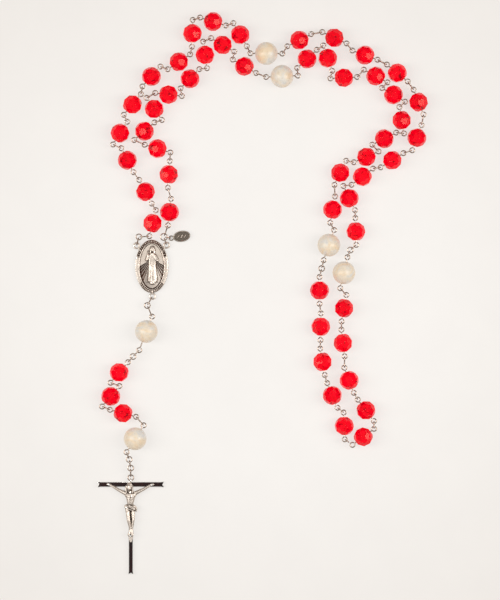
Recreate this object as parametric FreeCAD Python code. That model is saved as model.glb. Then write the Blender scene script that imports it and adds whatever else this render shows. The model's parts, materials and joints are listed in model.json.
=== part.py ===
import FreeCAD, Part
import cmath
import itertools
import math
import os

# A five-decade rosary lying on a flat surface: faceted Ave beads and round Pater beads on eye pins,
# joined by wire links that stand on edge, with an oval centrepiece, a small tag and a crucifix.
# Millimetres, +Z up. The origin is under the middle of the laid-out rosary, on the surface.

# Beads
AVE_FLATS = 7.8            # across two opposite facets
CORNER_RATIO = 1.0926      # corner radius over facet radius, for 32 facets at one distance
PATER_DIAMETER = 10.0
BORE_CLEARANCE = 0.08
ROLL_STEP = 47.0           # degrees that each bead is rolled on from the one before
NEIGHBOUR_COSINE = 0.4     # two corners of an icosahedron are neighbours if their cosine is over this
PLANE_TOLERANCE = 1e-6
SAME_CORNER = 1e-4
SKEW = FreeCAD.Vector(0.3, 0.5, 0.8)    # a direction that no facet faces

# Wire work
SHANK_RADIUS = 0.25        # straight part of an eye pin
EYE_WIRE = 0.27            # wire radius of a turned eye
EYE_RADIUS = 1.05          # to the middle of the eye's wire
LINK_WIRE = 0.25
LINK_HALF_HEIGHT = 0.85    # to the middle of the link's wire
SHORTEST_STRAIGHT = 0.05   # a link with less straight than this is a plain round
RING_WIRE = 0.26
RING_RADIUS = 1.25
THREE_WAY_RING = 1.5       # the ring that also carries the tag
NECK = 2.0                 # bead surface to eye centre
LONG_NECK = 3.8            # the same, below the upper pendant Pater
REACH_IN_EYE = 0.9         # how far a link's end reaches past an eye's wire
REACH_IN_RING = 0.76       # less, because a ring holds two links

# How far apart the centres of two joined eyes or rings may lie, and how near neighbours may come
EYE_TO_EYE = (3.4, 5.0)
EYE_TO_RING = (3.4, 5.3)
RING_TO_RING = (3.6, 4.6)
OPEN_PIVOT = (4.15, 5.0)
OPEN_GAP = 0.4             # between the last link and the eye that it doesn't hook
SIDE_GAP = 0.35
NEIGHBOUR_RANGE = 15.0
RING_NEEDED = 5.9          # an eye-to-eye gap that one link doesn't span
SETTLE_ROUNDS = 600

# Centrepiece
CENTREPIECE_AT = complex(-47.8, 12.0)
CENTREPIECE_WIDTH = 14.6
CENTREPIECE_HEIGHT = 23.5
CENTREPIECE_THICK = 1.8
RIM_RISE = 0.3
RIM_WIDTH = 0.5
FIELD_WIDTH = 10.7
FIELD_HEIGHT = 20.0
FIELD_SINK = 0.35
FIGURE_RISE = 0.9
FIGURE_HEAD = 1.1          # radius of the figure's head
FIGURE_HEAD_HEIGHT = 6.0   # its middle above the field's middle
FIGURE_SIDE = [            # one side of the robe, from the hem up to the neck, from the field's middle
    (0.0, -7.6), (2.2, -7.4), (1.7, -3.0), (1.4, 0.5), (2.5, 1.5), (2.0, 4.2), (0.9, 4.9), (0.0, 5.0),
]
LUG_LEVEL = 1.35
LUG_RADIUS = 1.2
LUG_WIRE = 0.36
LUG_NECK = 2.0
LEFT_LUG = complex(-54.5, 21.1)
RIGHT_LUG = complex(-41.3, 21.3)
LOWER_LUG = complex(-47.5, -1.2)

# Tag
TAG_LUG = complex(-39.2, 24.4)
TAG_TURN = 10.0
TAG_LENGTH = 7.6
TAG_WIDTH = 4.9
TAG_THICK = 0.9
TAG_LEVEL = 0.8
TAG_RIM = 0.5
TAG_SINK = 0.25
TAG_LUG_RADIUS = 0.95
TAG_LUG_WIRE = 0.28
TAG_LUG_BITE = 0.1         # how far the lug's ring is sunk in the plate's edge

# Crucifix
CROSS_X = -57.0
CROSSBAR_Y = -83.9
CROSSBAR_LENGTH = 29.2
CROSSBAR_WIDTH = 2.2
UPRIGHT_FOOT = -123.4
UPRIGHT_WIDTH = 1.9
END_FLARE = 0.2
END_NOTCH = 0.55
FLARE_LENGTH = 1.2
CROSS_THICK = 1.6
CROSS_RIM = 0.18
INLAY_THICK = 0.5
BAIL_RADIUS = 0.8
BAIL_WIRE = 0.32
CRUCIFIX_RING_LEVEL = 1.9

# Nails as (x, y from the middle of the crossbar, height of the head's underside)
NAILS = [(-9.5, 0.0, 2.7), (9.3, -0.1, 2.7), (-0.1, -22.4, 3.5)]
NAIL_RADIUS = 0.3
NAIL_FOOT = 0.4
NAIL_HEAD_RADIUS = 0.45
NAIL_HEAD_THICK = 0.25

# The cast figure in plan, from the middle of the crossbar, and how far each part stands off the cross
CORPUS_HEAD_AT = (-0.6, -1.5)
CORPUS_HEAD_RADIUS = 1.25
CORPUS_HEAD_RISE = 2.5
CORPUS_ARMS = [
    (-10.1, 0.5), (-8.6, 0.5), (-4.8, -1.6), (-1.6, -2.5),
    (1.6, -2.5), (4.8, -1.6), (8.4, 0.4), (9.9, 0.4),
    (9.9, -0.7), (8.4, -0.8), (5.2, -2.9), (2.0, -4.6),
    (-2.0, -4.6), (-5.2, -2.9), (-8.6, -0.8), (-10.1, -0.6),
]
CORPUS_ARMS_RISE = 1.1
CORPUS_TRUNK = [
    (-1.9, -3.2), (1.9, -3.2), (1.7, -5.6), (1.2, -8.2), (1.7, -10.4), (1.3, -12.0),
    (-1.5, -12.0), (-2.1, -10.4), (-1.3, -8.2), (-1.8, -5.6),
]
CORPUS_TRUNK_RISE = 2.3
CORPUS_LEGS = [
    (-1.5, -11.5), (1.3, -11.5), (0.7, -16.0), (0.6, -22.0), (0.5, -23.4),
    (-0.7, -23.4), (-0.8, -22.0), (-1.5, -16.0),
]
CORPUS_LEGS_RISE = 1.9
FOOT_REST = [(-1.3, -22.2), (1.3, -22.2), (0.5, -25.4), (-0.5, -25.4)]
FOOT_REST_RISE = 0.9

AVE_CORNER = AVE_FLATS / 2 * CORNER_RATIO

# Where the beads lie: x and y of the bead, and the heading of its pin in degrees, in the order of
# the chain. The left strand runs from the left lug, the right strand from the right lug.
FIRST_DECADE = [
    (-46.6, 31.2, 72), (-50.4, 44.6, 118), (-58.4, 58.5, 117), (-61.5, 71.6, 63), (-55.2, 82.6, 55),
    (-47.8, 93.8, 53), (-35.6, 101.9, 36), (-29.4, 113.7, 82), (-20.6, 119.2, -11), (-9.8, 113.4, -53),
]
FIRST_PATER = (2.5, 105.2, 0)
SECOND_DECADE = [
    (17.2, 110.8, 27), (31.6, 111.6, -25), (45.8, 104.6, -20), (59.4, 96.1, -39), (67.9, 83.8, -68),
    (67.4, 68.6, -111), (57.6, 58.5, -149), (44.6, 51.3, -142), (39.0, 41.6, -71), (41.2, 28.0, -91),
]
SECOND_PATER = (36.8, 9.7, -104)
THIRD_DECADE_LEFT = [
    (36.6, -6.4, -100), (36.2, -21.6, -83), (38.9, -38.1, -69), (46.2, -51.3, -54), (45.0, -62.6, -143),
]
FIFTH_DECADE = [
    (-40.3, 37.3, 88), (-40.3, 53.0, 85), (-45.0, 64.2, 150), (-49.8, 71.1, 44), (-46.2, 80.4, 112),
    (-40.7, 87.2, 5), (-31.2, 93.5, 45), (-24.6, 104.7, 85), (-17.3, 108.4, -30), (-7.1, 100.2, -33),
]
FOURTH_PATER = (9.7, 96.1, 10)
FOURTH_DECADE = [
    (20.9, 102.4, 47), (29.1, 102.8, -75), (36.1, 95.6, -2), (50.6, 94.6, -31), (59.0, 87.0, -43),
    (61.2, 75.2, -91), (55.8, 67.4, -151), (46.4, 60.7, -153), (35.8, 51.7, -120), (31.8, 36.5, -100),
]
THIRD_PATER = (29.9, 21.4, -108)
THIRD_DECADE_RIGHT = [
    (25.9, 1.4, -90), (26.4, -14.5, -91), (27.2, -29.9, -80), (31.7, -44.8, -66), (36.6, -57.9, -85),
]
PENDANT_PATER_UPPER = (-50.0, -16.6, -111)
PENDANT_AVES = [(-61.9, -34.8, -129), (-65.7, -45.0, -130), (-60.4, -52.1, -16)]
PENDANT_PATER_LOWER = (-54.8, -63.8, -124)

# Rings of the chain, by hand
RING_AT_LEFT_LUG = complex(-53.4, 24.9)
RING_AT_RIGHT_LUG = complex(-42.4, 24.9)
RING_BELOW_CENTREPIECE = complex(-49.7, -5.2)
RING_BELOW_UPPER_PATER = complex(-56.0, -27.7)
RINGS_ABOVE_CRUCIFIX = [(complex(-57.6, -72.7), 4.0), (complex(-57.0, -76.6), 3.0)]
CRUCIFIX_RING = complex(CROSS_X, -80.9)


def vector(place, height=0.0):
    """A point of the plan at a height."""
    return FreeCAD.Vector(place.real, place.imag, height)


def unit(step):
    return step / abs(step)


# Laying the chain out: pins, rings and lugs, and how they are joined

class Pin:
    """An eye pin through one bead, from its first eye to its last."""

    fixed = False
    eye = EYE_RADIUS
    reach = REACH_IN_EYE

    def __init__(self, station, radius, corner, low_neck=NECK):
        x, y, heading = station
        self.radius = radius
        self.level = corner
        self.before = radius + NECK
        self.after = radius + low_neck
        along = cmath.rect(1.0, math.radians(heading))
        self.ends = [complex(x, y) - along * self.before, complex(x, y) + along * self.after]

    @property
    def along(self):
        return unit(self.ends[1] - self.ends[0])

    @property
    def bead(self):
        return self.ends[0] + self.along * self.before


class Ring:
    """A round wire eye that lies flat: a jump ring, or a lug that never moves."""

    def __init__(self, place, level, eye=RING_RADIUS, reach=REACH_IN_RING, fixed=False):
        self.ends = [place]
        self.level = level
        self.eye = eye
        self.reach = reach
        self.fixed = fixed


def ave(station):
    return Pin(station, AVE_FLATS / 2, AVE_CORNER)


def pater(station, low_neck=NECK):
    return Pin(station, PATER_DIAMETER / 2, PATER_DIAMETER / 2, low_neck)


def lug(place):
    return Ring(place, LUG_LEVEL, LUG_RADIUS, REACH_IN_EYE, fixed=True)


def with_rings(items):
    """Puts a flat ring between two pins whose eyes are too far apart for one link."""
    out = [items[0]]
    for item in items[1:]:
        last = out[-1]
        gap = abs(item.ends[0] - last.ends[-1])
        if gap > RING_NEEDED and isinstance(item, Pin) and isinstance(last, Pin):
            out.append(Ring((item.ends[0] + last.ends[-1]) / 2, (item.level + last.level) / 2))
        out.append(item)
    return out


def limits_of(first, second):
    """The least and most that the centres of two joined eyes may be apart."""
    rings = [item for item in (first, second) if item.reach == REACH_IN_RING]
    return (EYE_TO_EYE, EYE_TO_RING, RING_TO_RING)[len(rings)]


def shift(item, end, step):
    if not item.fixed:
        item.ends[end] += step


def hold(first, end_1, second, end_2, least, most):
    """Moves two ends together or apart until they are between least and most apart."""
    step = second.ends[end_2] - first.ends[end_1]
    gap = abs(step)
    excess = gap - min(max(gap, least), most)
    share = 1.0 if first.fixed or second.fixed else 0.5
    shift(first, end_1, unit(step) * excess * share)
    shift(second, end_2, -unit(step) * excess * share)


def circles_of(item):
    """What an item takes up in plan, as (item, which end or None for the bead, radius)."""
    if isinstance(item, Ring):
        return [(item, 0, item.eye + RING_WIRE)]
    eye = EYE_RADIUS + EYE_WIRE
    return [(item, 0, eye), (item, 1, eye), (item, None, item.level)]


def middle_of(circle):
    item, end, _ = circle
    return item.bead if end is None else item.ends[end]


def push(circle, step):
    item, end, _ = circle
    for n in range(len(item.ends)) if end is None else [end]:
        shift(item, n, step)


def keep_apart(circle_1, circle_2):
    """Pushes two circles apart where they come nearer than the side gap."""
    step = middle_of(circle_2) - middle_of(circle_1)
    short = circle_1[2] + circle_2[2] + SIDE_GAP - abs(step)
    if short > 0:
        push(circle_1, -unit(step) * short / 2)
        push(circle_2, unit(step) * short / 2)


def neighbours(items):
    """Every two circles of different items that start near each other."""
    pairs = []
    for n, first in enumerate(items):
        for second in items[n + 1:]:
            for one in circles_of(first):
                for other in circles_of(second):
                    if abs(middle_of(one) - middle_of(other)) < NEIGHBOUR_RANGE:
                        pairs.append((one, other))
    return pairs


def settle(items, joins):
    """Eases the stations until every link fits and nothing touches its neighbour."""
    pairs = neighbours(items)
    pins = [item for item in items if isinstance(item, Pin)]
    for _ in range(SETTLE_ROUNDS):
        for one, other in pairs:
            keep_apart(one, other)
        for join in joins:
            hold(*join)
        for pin in pins:
            length = pin.before + pin.after
            hold(pin, 0, pin, 1, length, length)


def joins_along(strand):
    return [
        (first, len(first.ends) - 1, second, 0, *limits_of(first, second))
        for first, second in zip(strand, strand[1:])
    ]


left_lug = lug(LEFT_LUG)
right_lug = lug(RIGHT_LUG)
lower_lug = lug(LOWER_LUG)
tag_lug = Ring(TAG_LUG, TAG_LEVEL + TAG_THICK / 2, TAG_LUG_RADIUS, fixed=True)
right_ring = Ring(RING_AT_RIGHT_LUG, (LUG_LEVEL + AVE_CORNER) / 2, THREE_WAY_RING, fixed=True)
left_strand = with_rings(
    [left_lug, Ring(RING_AT_LEFT_LUG, (LUG_LEVEL + AVE_CORNER) / 2)]
    + [ave(s) for s in FIRST_DECADE] + [pater(FIRST_PATER)]
    + [ave(s) for s in SECOND_DECADE] + [pater(SECOND_PATER)]
    + [ave(s) for s in THIRD_DECADE_LEFT]
)
right_strand = with_rings(
    [right_lug, right_ring]
    + [ave(s) for s in FIFTH_DECADE] + [pater(FOURTH_PATER)]
    + [ave(s) for s in FOURTH_DECADE] + [pater(THIRD_PATER)]
    + [ave(s) for s in THIRD_DECADE_RIGHT]
)
pendant = [
    lower_lug,
    Ring(RING_BELOW_CENTREPIECE, (LUG_LEVEL + PATER_DIAMETER / 2) / 2),
    pater(PENDANT_PATER_UPPER, LONG_NECK),
    Ring(RING_BELOW_UPPER_PATER, (PATER_DIAMETER / 2 + AVE_CORNER) / 2),
    *[ave(s) for s in PENDANT_AVES],
    pater(PENDANT_PATER_LOWER),
    *[Ring(place, level) for place, level in RINGS_ABOVE_CRUCIFIX],
    Ring(CRUCIFIX_RING, CRUCIFIX_RING_LEVEL, fixed=True),
]
closing_join = (left_strand[-1], 1, right_strand[-1], 1, *OPEN_PIVOT)
settle(
    left_strand + right_strand + pendant,
    joins_along(left_strand) + joins_along(right_strand) + joins_along(pendant) + [closing_join],
)


# The wire work and the beads

def circle_face(radius, centre, normal):
    edge = Part.makeCircle(radius, centre, normal)
    return Part.Face(Part.Wire([edge]))


def stadium(length):
    """A wire link on edge: a racetrack in the XZ plane that starts at X = 0 and is length long."""
    half = min(LINK_HALF_HEIGHT, length / 2)
    straight = length - 2 * half
    across = FreeCAD.Vector(0, 1, 0)
    near, far = FreeCAD.Vector(half, 0, 0), FreeCAD.Vector(half + straight, 0, 0)
    if straight < SHORTEST_STRAIGHT:
        return Part.makeTorus(half, LINK_WIRE, near, across)
    top = circle_face(LINK_WIRE, FreeCAD.Vector(half, 0, half), FreeCAD.Vector(1, 0, 0))
    top_far = circle_face(LINK_WIRE, FreeCAD.Vector(half + straight, 0, half), FreeCAD.Vector(1, 0, 0))
    bottom = circle_face(LINK_WIRE, FreeCAD.Vector(half, 0, -half), FreeCAD.Vector(1, 0, 0))
    along = FreeCAD.Vector(straight, 0, 0)
    pieces = [
        top.extrude(along),
        bottom.extrude(along),
        top.revolve(near, across, -180),
        top_far.revolve(far, across, 180),
    ]
    return pieces[0].multiFuse(pieces[1:]).removeSplitter()


def placed(shape, start, along):
    """A copy of a shape that starts at X = 0, moved to start and turned so that X runs along."""
    side = FreeCAD.Vector(-along.y, along.x, 0).normalize()
    turn = FreeCAD.Rotation(along, side, along.cross(side), "XYZ")
    copy = shape.copy()
    copy.Placement = FreeCAD.Placement(start, turn).multiply(copy.Placement)
    return copy


def crossings(first, second):
    """The two points where a link crosses the wires of the eyes that it joins."""
    start, end = first.ends[-1], second.ends[0]
    flat = unit(end - start)
    return vector(start + flat * first.eye, first.level), vector(end - flat * second.eye, second.level)


def link_shape(first, second):
    here, there = crossings(first, second)
    along = (there - here).normalize()
    start = here - along * first.reach
    length = (there + along * second.reach - start).Length
    return placed(stadium(length), start, along)


def open_link_shape(first, second):
    """The link at the open pivot: it holds the first pin's last eye and stops short of the other's."""
    here, there = first.ends[1], second.ends[1]
    flat = unit(there - here)
    start = here + flat * (first.eye - first.reach)
    end = there - flat * (second.eye + EYE_WIRE + LINK_WIRE + OPEN_GAP)
    return placed(stadium(abs(end - start)), vector(start, first.level), vector(flat))


def ring_shape(ring):
    return Part.makeTorus(ring.eye, RING_WIRE, vector(ring.ends[0], ring.level))


def pin_shape(pin):
    """A straight shank through the bead with a round eye turned at each end."""
    eyes = [Part.makeTorus(EYE_RADIUS, EYE_WIRE, vector(end, pin.level)) for end in pin.ends]
    start = vector(pin.ends[0] + pin.along * EYE_RADIUS, pin.level)
    length = pin.before + pin.after - 2 * EYE_RADIUS
    shank = Part.makeCylinder(SHANK_RADIUS, length, start, vector(pin.along))
    return shank.multiFuse(eyes)


def bead_directions():
    """The 32 facet directions: an icosahedron's corners, one of them on X, and its faces."""
    lift = math.atan(0.5)
    corners = [FreeCAD.Vector(1, 0, 0), FreeCAD.Vector(-1, 0, 0)]
    for k in range(10):
        angle = math.radians(36 * k)
        out = math.sin(lift) * (1 if k % 2 == 0 else -1)
        round_x = cmath.rect(math.cos(lift), angle)
        corners.append(FreeCAD.Vector(out, round_x.real, round_x.imag))
    faces = []
    for a, b, c in itertools.combinations(corners, 3):
        if min(a.dot(b), b.dot(c), c.dot(a)) > NEIGHBOUR_COSINE:
            faces.append((a + b + c).normalize())
    return corners + faces


def faceted_solid(directions, radius):
    """The solid inside a plane facing each direction, all at the same distance from the middle."""
    corners = []
    for a, b, c in itertools.combinations(directions, 3):
        volume = a.dot(b.cross(c))
        if abs(volume) > PLANE_TOLERANCE:
            corner = (b.cross(c) + c.cross(a) + a.cross(b)) * (radius / volume)
            inside = all(corner.dot(d) < radius + PLANE_TOLERANCE for d in directions)
            if inside and all((corner - other).Length > SAME_CORNER for other in corners):
                corners.append(corner)
    faces = []
    for d in directions:
        rim = [corner for corner in corners if corner.dot(d) > radius - PLANE_TOLERANCE]
        side = d.cross(SKEW).normalize()
        up = d.cross(side)
        rim.sort(key=lambda corner: math.atan2(corner.dot(up), corner.dot(side)))
        faces.append(Part.Face(Part.makePolygon(rim + rim[:1])))
    return Part.Solid(Part.Shell(faces))


def bored(shape, size):
    """A bead of a size about the origin, with its bore along X."""
    bore = Part.makeCylinder(
        SHANK_RADIUS + BORE_CLEARANCE, 2 * size, FreeCAD.Vector(-size, 0, 0), FreeCAD.Vector(1, 0, 0)
    )
    return shape.cut(bore)


def bead_shape(pin, model, roll):
    """A bead on its pin, rolled about it."""
    turned = model.copy()
    turned.rotate(FreeCAD.Vector(0, 0, 0), FreeCAD.Vector(1, 0, 0), roll)
    return placed(turned, vector(pin.bead, pin.level), vector(pin.along))


# The centrepiece and the tag

def oval(width, height, centre, bottom, thick):
    """An upright elliptical block."""
    middle = vector(centre, bottom)
    if height > width:
        ends = middle + FreeCAD.Vector(0, height / 2, 0), middle + FreeCAD.Vector(width / 2, 0, 0)
    else:
        ends = middle + FreeCAD.Vector(width / 2, 0, 0), middle + FreeCAD.Vector(0, height / 2, 0)
    edge = Part.Ellipse(*ends, middle).toShape()
    return Part.Face(Part.Wire([edge])).extrude(FreeCAD.Vector(0, 0, thick))


def rod(start, end, radius):
    return Part.makeCylinder(radius, (end - start).Length, start, end - start)


def lug_shape(item, inner, wire, neck):
    """A round lug and the short neck that joins it to the piece behind it."""
    centre = vector(item.ends[0], item.level)
    ring = Part.makeTorus(item.eye, wire, centre)
    way = unit(inner - item.ends[0])
    start = vector(item.ends[0] + way * item.eye, item.level)
    return ring.fuse(rod(start, start + vector(way) * neck, wire))


def outline_prism(points, bottom, thick):
    wire = Part.makePolygon([FreeCAD.Vector(x, y, bottom) for x, y in points + points[:1]])
    return Part.Face(wire).extrude(FreeCAD.Vector(0, 0, thick))


def figure_relief():
    """A plain robed figure standing on the centrepiece's field."""
    other_side = [(-x, y) for x, y in reversed(FIGURE_SIDE[1:-1])]
    middle = CENTREPIECE_AT
    points = [(middle.real + x, middle.imag + y) for x, y in FIGURE_SIDE + other_side]
    floor = CENTREPIECE_THICK - FIELD_SINK
    robe = outline_prism(points, floor, FIGURE_RISE)
    head_at = vector(middle + complex(0, FIGURE_HEAD_HEIGHT), floor)
    head = Part.makeCylinder(FIGURE_HEAD, FIGURE_RISE, head_at)
    return robe.fuse(head)


def centrepiece():
    """One casting: an oval plate, a raised rim round a sunk field, a figure and three lugs."""
    plate = oval(CENTREPIECE_WIDTH, CENTREPIECE_HEIGHT, CENTREPIECE_AT, 0, CENTREPIECE_THICK)
    ridge = oval(
        FIELD_WIDTH + 2 * RIM_WIDTH, FIELD_HEIGHT + 2 * RIM_WIDTH, CENTREPIECE_AT, 0,
        CENTREPIECE_THICK + RIM_RISE,
    )
    sink = oval(
        FIELD_WIDTH, FIELD_HEIGHT, CENTREPIECE_AT, CENTREPIECE_THICK - FIELD_SINK, CENTREPIECE_THICK
    )
    plate = plate.fuse(ridge).cut(sink).fuse(figure_relief())
    for item in (left_lug, right_lug, lower_lug):
        plate = plate.fuse(lug_shape(item, CENTREPIECE_AT, LUG_WIRE, LUG_NECK))
    return plate


def tag():
    """A stamped oval plate with a raised rim and a lug at one end."""
    centre = TAG_LUG + complex(TAG_LUG_RADIUS + TAG_LENGTH / 2 - TAG_LUG_BITE, 0)
    plate = oval(TAG_LENGTH, TAG_WIDTH, centre, TAG_LEVEL, TAG_THICK)
    sink = oval(
        TAG_LENGTH - 2 * TAG_RIM, TAG_WIDTH - 2 * TAG_RIM, centre,
        TAG_LEVEL + TAG_THICK - TAG_SINK, TAG_THICK,
    )
    ring = Part.makeTorus(TAG_LUG_RADIUS, TAG_LUG_WIRE, vector(TAG_LUG, tag_lug.level))
    whole = plate.cut(sink).fuse(ring)
    whole.rotate(vector(TAG_LUG), FreeCAD.Vector(0, 0, 1), TAG_TURN)
    return whole


# The crucifix

def bar_outline(half_length, half_width):
    """Half of a bar that widens at its end and is notched there, from its middle line out along X."""
    return [
        (half_length - FLARE_LENGTH, half_width),
        (half_length, half_width + END_FLARE),
        (half_length - END_NOTCH, 0.0),
        (half_length, -half_width - END_FLARE),
        (half_length - FLARE_LENGTH, -half_width),
    ]


def cross_solid(inset, bottom, thick):
    """The crossbar and the upright in plan, drawn in from their edges by inset."""
    reach = CROSSBAR_LENGTH / 2 - inset
    right = bar_outline(reach, CROSSBAR_WIDTH / 2 - inset)
    left = [(-x, -y) for x, y in right]
    crossbar = [(CROSS_X + x, CROSSBAR_Y + y) for x, y in right + left]
    length = CROSSBAR_Y - UPRIGHT_FOOT - inset
    foot = bar_outline(length, UPRIGHT_WIDTH / 2 - inset)
    half = UPRIGHT_WIDTH / 2 - inset
    upright = [(CROSS_X + y, CROSSBAR_Y - x) for x, y in [(0.0, half)] + foot + [(0.0, -half)]]
    bar = outline_prism(crossbar, bottom, thick)
    return bar.fuse(outline_prism(upright, bottom, thick)).removeSplitter()


def bail_centre():
    """Where the crucifix's ring passes through its bail."""
    return vector(CRUCIFIX_RING - complex(0, RING_RADIUS), CRUCIFIX_RING_LEVEL)


def nails():
    """Three pins with flat heads: two through the hands and one through the feet."""
    out = []
    for x, y, top in NAILS:
        at = FreeCAD.Vector(CROSS_X + x, CROSSBAR_Y + y, NAIL_FOOT)
        shank = Part.makeCylinder(NAIL_RADIUS, top - NAIL_FOOT, at)
        head_at = FreeCAD.Vector(at.x, at.y, top)
        head = Part.makeCylinder(NAIL_HEAD_RADIUS, NAIL_HEAD_THICK, head_at)
        out.append(shank.fuse(head))
    return out


def without_nails(shape):
    """A shape with the nails' holes in it."""
    for nail in nails():
        shape = shape.cut(nail)
    return shape


def cross_frame():
    """The metal cross with its inlay's recess and the bail on top."""
    frame = cross_solid(0.0, 0.0, CROSS_THICK).cut(cross_inlay())
    bail = Part.makeTorus(BAIL_RADIUS, BAIL_WIRE, bail_centre(), FreeCAD.Vector(1, 0, 0))
    return without_nails(frame).fuse(bail)


def cross_inlay():
    return without_nails(cross_solid(CROSS_RIM, CROSS_THICK - INLAY_THICK, INLAY_THICK))


def corpus_part(outline, rise):
    return outline_prism([(CROSS_X + x, CROSSBAR_Y + y) for x, y in outline], CROSS_THICK, rise)


def corpus():
    """The cast figure and its foot rest, flat where they lie on the cross."""
    x, y = CORPUS_HEAD_AT
    head_at = FreeCAD.Vector(CROSS_X + x, CROSSBAR_Y + y, CROSS_THICK)
    body = Part.makeCylinder(CORPUS_HEAD_RADIUS, CORPUS_HEAD_RISE, head_at)
    body = body.fuse(corpus_part(CORPUS_ARMS, CORPUS_ARMS_RISE))
    body = body.fuse(corpus_part(CORPUS_TRUNK, CORPUS_TRUNK_RISE))
    body = body.fuse(corpus_part(CORPUS_LEGS, CORPUS_LEGS_RISE))
    body = body.fuse(corpus_part(FOOT_REST, FOOT_REST_RISE))
    return without_nails(body)


# The sub-parts, each written under its own name

ave_model = bored(faceted_solid(bead_directions(), AVE_FLATS / 2), AVE_FLATS)
pater_model = bored(Part.makeSphere(PATER_DIAMETER / 2), PATER_DIAMETER)


def beads(pins, first_roll=0.0):
    """The beads of these pins, each rolled a little further round than the last."""
    shapes = []
    for n, pin in enumerate(pins):
        model = pater_model if pin.radius == PATER_DIAMETER / 2 else ave_model
        shapes.append(bead_shape(pin, model, first_roll + n * ROLL_STEP))
    return shapes


def wires(before, items):
    """The pins, rings and links of a stretch of chain, with the link that leads to it."""
    shapes = []
    for first, second in zip([before] + items, items):
        shapes.append(link_shape(first, second))
        shapes.append(pin_shape(second) if isinstance(second, Pin) else ring_shape(second))
    return shapes


def stretches(strand, names):
    """Cuts a strand into named stretches: (name, the item before it, its items)."""
    out = []
    start = 1
    for name, count in names:
        stop = start
        pins = 0
        while pins < count:
            pins += isinstance(strand[stop], Pin)
            stop += 1
        out.append((name, strand[start - 1], strand[start:stop]))
        start = stop
    return out


LEFT_NAMES = [
    ("decade_1a", 5), ("decade_1b", 5), ("pater_1", 1),
    ("decade_2a", 5), ("decade_2b", 5), ("pater_2", 1), ("decade_3a", 5),
]
RIGHT_NAMES = [
    ("decade_5b", 5), ("decade_5a", 5), ("pater_4", 1),
    ("decade_4b", 5), ("decade_4a", 5), ("pater_3", 1), ("decade_3b", 5),
]
PENDANT_PIN_NAMES = [
    "pendant_pater_upper", "pendant_ave_1", "pendant_ave_2", "pendant_ave_3", "pendant_pater_lower",
]


def loop_nodes():
    nodes = {}
    runs = stretches(left_strand, LEFT_NAMES) + stretches(right_strand, RIGHT_NAMES)
    for number, (name, before, items) in enumerate(runs):
        pins = [item for item in items if isinstance(item, Pin)]
        first_roll = number * ROLL_STEP / 2
        shapes = wires(before, items)
        if name == "decade_3b":
            shapes.append(open_link_shape(right_strand[-1], left_strand[-1]))
        plural = "s" if len(pins) > 1 else ""
        nodes[f"{name}_bead{plural}"] = Part.makeCompound(beads(pins, first_roll))
        nodes[f"{name}_wires"] = Part.makeCompound(shapes)
    return nodes


def pendant_nodes():
    """Every link, ring, pin and bead of the pendant, each a node of its own."""
    nodes = {}
    pin_names = iter(PENDANT_PIN_NAMES)
    rings = 0
    for number, (first, second) in enumerate(zip(pendant, pendant[1:]), start=1):
        nodes[f"pendant_link_{number}"] = link_shape(first, second)
        if isinstance(second, Pin):
            name = next(pin_names)
            nodes[f"{name}_pin"] = pin_shape(second)
            nodes[f"{name}_bead"] = beads([second], number * ROLL_STEP)[0]
        else:
            rings += 1
            nodes[f"pendant_ring_{rings}"] = ring_shape(second)
    nodes["crucifix_ring"] = nodes.pop(f"pendant_ring_{rings}")
    return nodes


def fitting_nodes():
    return {
        "centrepiece": centrepiece(),
        "tag_ring": link_shape(right_ring, tag_lug),
        "tag": tag(),
        "cross_frame": cross_frame(),
        "cross_inlay": cross_inlay(),
        "corpus": corpus(),
        "corpus_nails": Part.makeCompound(nails()),
    }


os.makedirs("parts", exist_ok=True)
for name, shape in (loop_nodes() | pendant_nodes() | fitting_nodes()).items():
    shape.exportStep(f"parts/{name}.step")
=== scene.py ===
import json
import math
import random

import bmesh
import bpy
import numpy as np
from mathutils import Matrix, Vector

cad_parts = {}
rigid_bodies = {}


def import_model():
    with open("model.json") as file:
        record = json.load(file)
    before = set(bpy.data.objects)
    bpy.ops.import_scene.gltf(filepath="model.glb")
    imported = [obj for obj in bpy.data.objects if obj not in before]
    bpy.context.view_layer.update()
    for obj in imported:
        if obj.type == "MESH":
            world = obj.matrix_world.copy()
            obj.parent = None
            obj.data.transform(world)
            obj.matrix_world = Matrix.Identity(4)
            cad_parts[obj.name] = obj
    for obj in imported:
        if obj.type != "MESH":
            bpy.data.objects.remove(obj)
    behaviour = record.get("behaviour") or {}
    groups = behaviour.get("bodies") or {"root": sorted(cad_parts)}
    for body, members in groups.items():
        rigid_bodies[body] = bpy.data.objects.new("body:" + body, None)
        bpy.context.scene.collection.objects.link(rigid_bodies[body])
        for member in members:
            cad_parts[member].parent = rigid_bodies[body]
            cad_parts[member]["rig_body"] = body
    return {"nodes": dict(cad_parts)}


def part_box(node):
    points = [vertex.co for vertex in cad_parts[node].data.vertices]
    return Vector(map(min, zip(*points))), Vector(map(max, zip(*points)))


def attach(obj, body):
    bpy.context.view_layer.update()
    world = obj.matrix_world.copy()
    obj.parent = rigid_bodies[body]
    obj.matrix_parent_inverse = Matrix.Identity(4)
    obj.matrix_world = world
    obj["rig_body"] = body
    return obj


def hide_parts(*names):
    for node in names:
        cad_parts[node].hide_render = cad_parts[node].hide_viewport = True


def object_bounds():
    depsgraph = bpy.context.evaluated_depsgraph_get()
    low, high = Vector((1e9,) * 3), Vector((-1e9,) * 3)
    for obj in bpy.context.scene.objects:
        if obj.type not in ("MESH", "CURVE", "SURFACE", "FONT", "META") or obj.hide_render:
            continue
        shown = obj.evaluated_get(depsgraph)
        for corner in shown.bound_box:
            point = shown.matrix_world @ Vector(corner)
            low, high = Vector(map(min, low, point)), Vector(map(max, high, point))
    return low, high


# The looks of the rosary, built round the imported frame. Lengths are in millimetres until a mesh
# is finished, when they are scaled to metres.

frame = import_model()
cad_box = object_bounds()
random.seed(7)

MM = 0.001
UP = Vector((0, 0, 1))

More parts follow.
